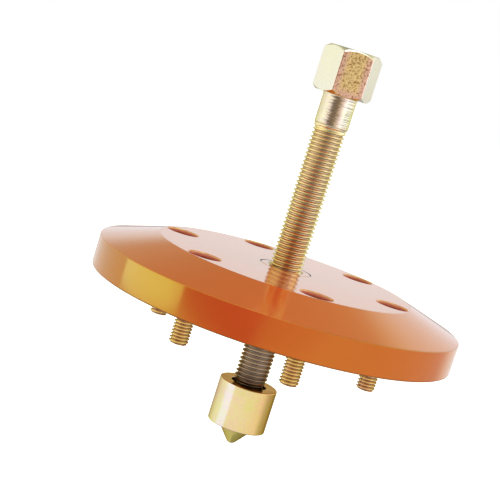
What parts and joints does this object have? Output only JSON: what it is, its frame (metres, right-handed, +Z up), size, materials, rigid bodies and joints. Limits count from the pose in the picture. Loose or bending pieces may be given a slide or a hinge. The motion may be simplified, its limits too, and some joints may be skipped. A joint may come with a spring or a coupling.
{
  "type": "gear puller",
  "caption": "Flange-type gear puller: round plate with bolt-circle cap screws and a hexagon-headed forcing screw that ends in a swivelling centre cup.",
  "frame": {"origin": "centre of the plate's underside, the face that lies against the work", "axes": "+Z up along the forcing screw to its hexagon head; +X towards cap screw 1 on the bolt circle"},
  "size_m": [0.2476, 0.2476, 0.2748],
  "materials": {
    "orange_paint": "gloss",
    "bush_paint": "gloss",
    "zinc_yellow": "yellow zinc plate",
    "zinc_yellow_cup": "yellow zinc plate",
    "zinc_yellow_fastener": "yellow zinc plate",
    "spring_steel": "oiled black"
  },
  "bodies": {
    "plate": {"puller_plate": "orange_paint", "threaded_bush": "bush_paint"},
    "swivel_cup": {"swivel_cup": "zinc_yellow_cup", "retaining_ring": "spring_steel"},
    "forcing_screw": {"forcing_screw": "zinc_yellow"},
    "cap_screw_1": {"cap_screw_1": "zinc_yellow_fastener"},
    "cap_screw_2": {"cap_screw_2": "zinc_yellow_fastener"},
    "cap_screw_3": {"cap_screw_3": "zinc_yellow_fastener"},
    "cap_screw_4": {"cap_screw_4": "zinc_yellow_fastener"},
    "cap_screw_5": {"cap_screw_5": "zinc_yellow_fastener"},
    "cap_screw_6": {"cap_screw_6": "zinc_yellow_fastener"}
  },
  "joints": [
    {"name": "screw_feed", "type": "slide", "parent": "plate", "child": "swivel_cup", "axis": [0, 0, 1], "range_m": [-0.096, 0.049]},
    {"name": "screw_turn", "type": "hinge", "parent": "swivel_cup", "child": "forcing_screw", "pos_m": [0, 0, 0.09], "axis": [0, 0, 1], "range_deg": [-12245.67, 6250.39]},
    {"name": "cap_screw_1_turn", "type": "hinge", "parent": "plate", "child": "cap_screw_1", "pos_m": [0.0752, 0, 0], "axis": [0, 0, 1], "continuous": true},
    {"name": "cap_screw_2_turn", "type": "hinge", "parent": "plate", "child": "cap_screw_2", "pos_m": [0.0376, 0.06513, 0], "axis": [0, 0, 1], "continuous": true},
    {"name": "cap_screw_3_turn", "type": "hinge", "parent": "plate", "child": "cap_screw_3", "pos_m": [-0.0376, 0.06513, 0], "axis": [0, 0, 1], "continuous": true},
    {"name": "cap_screw_4_turn", "type": "hinge", "parent": "plate", "child": "cap_screw_4", "pos_m": [-0.0752, 0, 0], "axis": [0, 0, 1], "continuous": true},
    {"name": "cap_screw_5_turn", "type": "hinge", "parent": "plate", "child": "cap_screw_5", "pos_m": [-0.0376, -0.06513, 0], "axis": [0, 0, 1], "continuous": true},
    {"name": "cap_screw_6_turn", "type": "hinge", "parent": "plate", "child": "cap_screw_6", "pos_m": [0.0376, -0.06513, 0], "axis": [0, 0, 1], "continuous": true}
  ],
  "couplings": [
    {"joint": "screw_feed", "follows": "screw_turn", "m_per_rad": 0.00044917}
  ]
}
